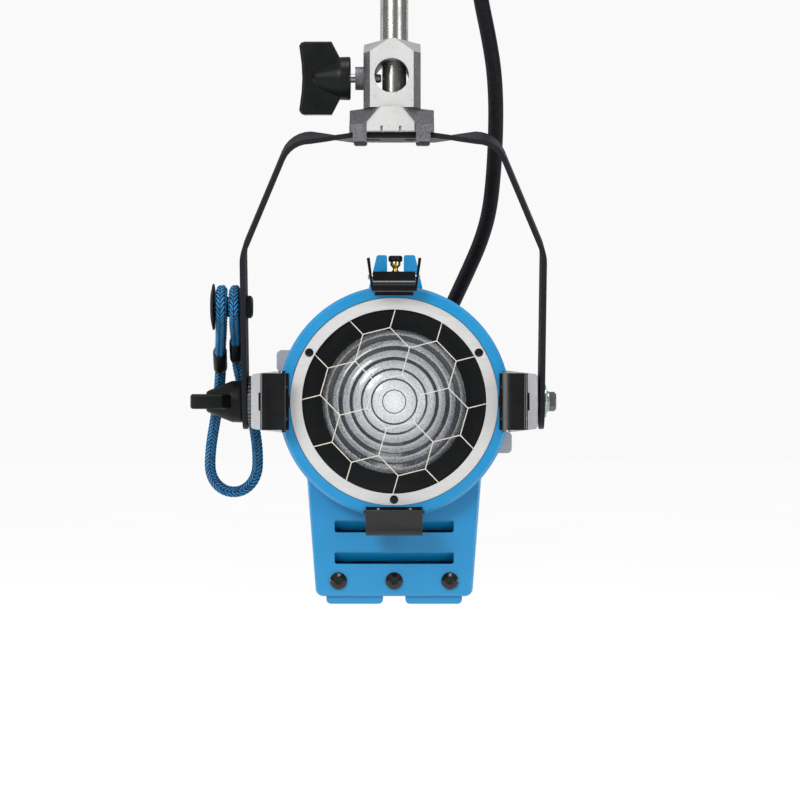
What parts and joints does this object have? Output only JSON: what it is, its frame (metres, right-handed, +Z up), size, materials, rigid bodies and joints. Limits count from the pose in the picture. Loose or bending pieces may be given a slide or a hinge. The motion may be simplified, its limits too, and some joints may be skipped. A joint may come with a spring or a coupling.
{
  "type": "fresnel spotlight",
  "caption": "Small studio fresnel spotlight with hinged lens door, wire guard and accessory slot, hung in a raked stirrup from a spigot.",
  "frame": {"origin": "on the axis of the 16 mm spigot, at the bottom shoulder of its free gripping length", "axes": "+Z up along the spigot, lens faces -Y, +X is the viewer's right when looking at the lens"},
  "size_m": [0.2155, 0.2238, 0.5202],
  "materials": {
    "spigot_steel": "bright drawn steel, scratched",
    "black_steel": "black powder coat",
    "cast_aluminium": "blasted cast aluminium",
    "zinc_steel": "zinc plated",
    "blue_rope": "braided polyester over steel wire",
    "black_sleeve": "shrink sleeve over a crimp",
    "cable_rubber": "matt rubber sheath",
    "strap_fabric": "hook and loop webbing",
    "plug_rubber": "moulded rubber",
    "brass": "turned brass",
    "black_plastic": "moulded glass-filled nylon",
    "silver_aluminium": "satin extruded aluminium",
    "blue_paint": "blue powder coat",
    "ceramic": "glazed steatite",
    "quartz_glass": "clear quartz",
    "mirror": "polished reflector",
    "brushed_aluminium": "brushed sheet",
    "guard_wire": "steel wire",
    "black_paint": "black high-temperature paint",
    "lens_glass": "pressed glass, stippled back",
    "black_sheet": "black coated spring steel sheet"
  },
  "bodies": {
    "spigot": {"spigot": "spigot_steel"},
    "yoke": {"yoke_stirrup": "black_steel", "socket_block": "cast_aluminium", "block_bolts": "zinc_steel", "rope_spool": "black_steel", "rope_spool_bolt": "black_steel", "rope_eyes": "blue_rope", "rope_sleeves": "black_sleeve", "rope_loop": "blue_rope", "power_cable": "cable_rubber", "cable_coil": "cable_rubber", "cable_strap": "strap_fabric", "plug_body": "plug_rubber", "plug_pins": "brass"},
    "lock_knob": {"lock_knob": "black_plastic", "lock_stud": "zinc_steel"},
    "tilt_knob": {"tilt_knob": "black_plastic", "tilt_stud": "zinc_steel"},
    "head": {"housing_shell": "silver_aluminium", "front_frame": "blue_paint", "rear_cover": "blue_paint", "base_box": "blue_paint", "base_screws": "black_steel", "base_louvre": "blue_paint", "bottom_plate": "blue_paint", "pivot_block_left": "cast_aluminium", "pivot_block_right": "cast_aluminium", "socket_screws": "black_steel", "tilt_disc": "black_steel", "pivot_washers": "black_steel", "pivot_bolt": "black_steel", "lock_lug": "blue_paint", "plunger_spring": "zinc_steel", "hinge_bracket": "black_steel", "guide_rods": "zinc_steel", "terminal_block": "ceramic", "cable_gland": "black_plastic", "strain_relief": "plug_rubber"},
    "carriage": {"lamp_carriage": "silver_aluminium", "lampholder": "ceramic", "halogen_lamp": "quartz_glass", "reflector": "mirror"},
    "focus_knob": {"focus_knob": "black_plastic", "focus_spindle": "zinc_steel"},
    "lens_door": {"front_ring": "blue_paint", "guard_ring": "brushed_aluminium", "wire_guard": "guard_wire", "guard_screws": "black_steel", "lens_funnel": "black_paint", "lens": "lens_glass", "lens_retainer": "black_paint", "accessory_brackets": "black_sheet", "bracket_rivets": "black_steel", "hinge_leaf": "black_steel", "latch_bracket": "black_sheet", "latch_pin": "zinc_steel"},
    "top_latch": {"top_latch": "black_sheet"},
    "plunger": {"plunger_pin": "brass", "plunger_knob": "black_plastic"}
  },
  "joints": [
    {"name": "pan", "type": "hinge", "parent": "spigot", "child": "yoke", "pos_m": [0, 0, -0.1813], "axis": [0, 0, 1], "continuous": true},
    {"name": "lock_screw", "type": "hinge", "parent": "yoke", "child": "lock_knob", "pos_m": [-0.03, 0, -0.1813], "axis": [-1, 0, 0], "range_deg": [0, 360]},
    {"name": "tilt", "type": "hinge", "parent": "yoke", "child": "head", "pos_m": [0, 0.04086, -0.368], "axis": [1, 0, 0], "range_deg": [-75, 90], "deforming": ["power_cable"]},
    {"name": "tilt_screw", "type": "hinge", "parent": "yoke", "child": "tilt_knob", "pos_m": [-0.095, 0.04086, -0.368], "axis": [-1, 0, 0], "range_deg": [0, 90]},
    {"name": "focus_travel", "type": "slide", "parent": "head", "child": "carriage", "axis": [0, 1, 0], "range_m": [-0.02, 0.022]},
    {"name": "focus_turn", "type": "hinge", "parent": "head", "child": "focus_knob", "pos_m": [0.022, 0.08, -0.448], "axis": [0, 1, 0], "range_deg": [-340, 340]},
    {"name": "lens_door", "type": "hinge", "parent": "head", "child": "lens_door", "pos_m": [0.0685, -0.0345, -0.368], "axis": [0, 0, 1], "range_deg": [0, 100]},
    {"name": "latch", "type": "hinge", "parent": "lens_door", "child": "top_latch", "pos_m": [0, -0.0518, -0.2985], "axis": [-1, 0, 0], "range_deg": [0, 38], "stiffness_Nm_per_rad": 0.05, "springref_deg": -17.19},
    {"name": "door_lock", "type": "slide", "parent": "head", "child": "plunger", "axis": [0, 0, 1], "range_m": [0, 0.004], "stiffness_N_per_m": 300, "springref_m": -0.004, "deforming": ["plunger_spring"]}
  ],
  "couplings": [
    {"joint": "focus_turn", "follows": "focus_travel", "rad_per_m": 261.8}
  ]
}
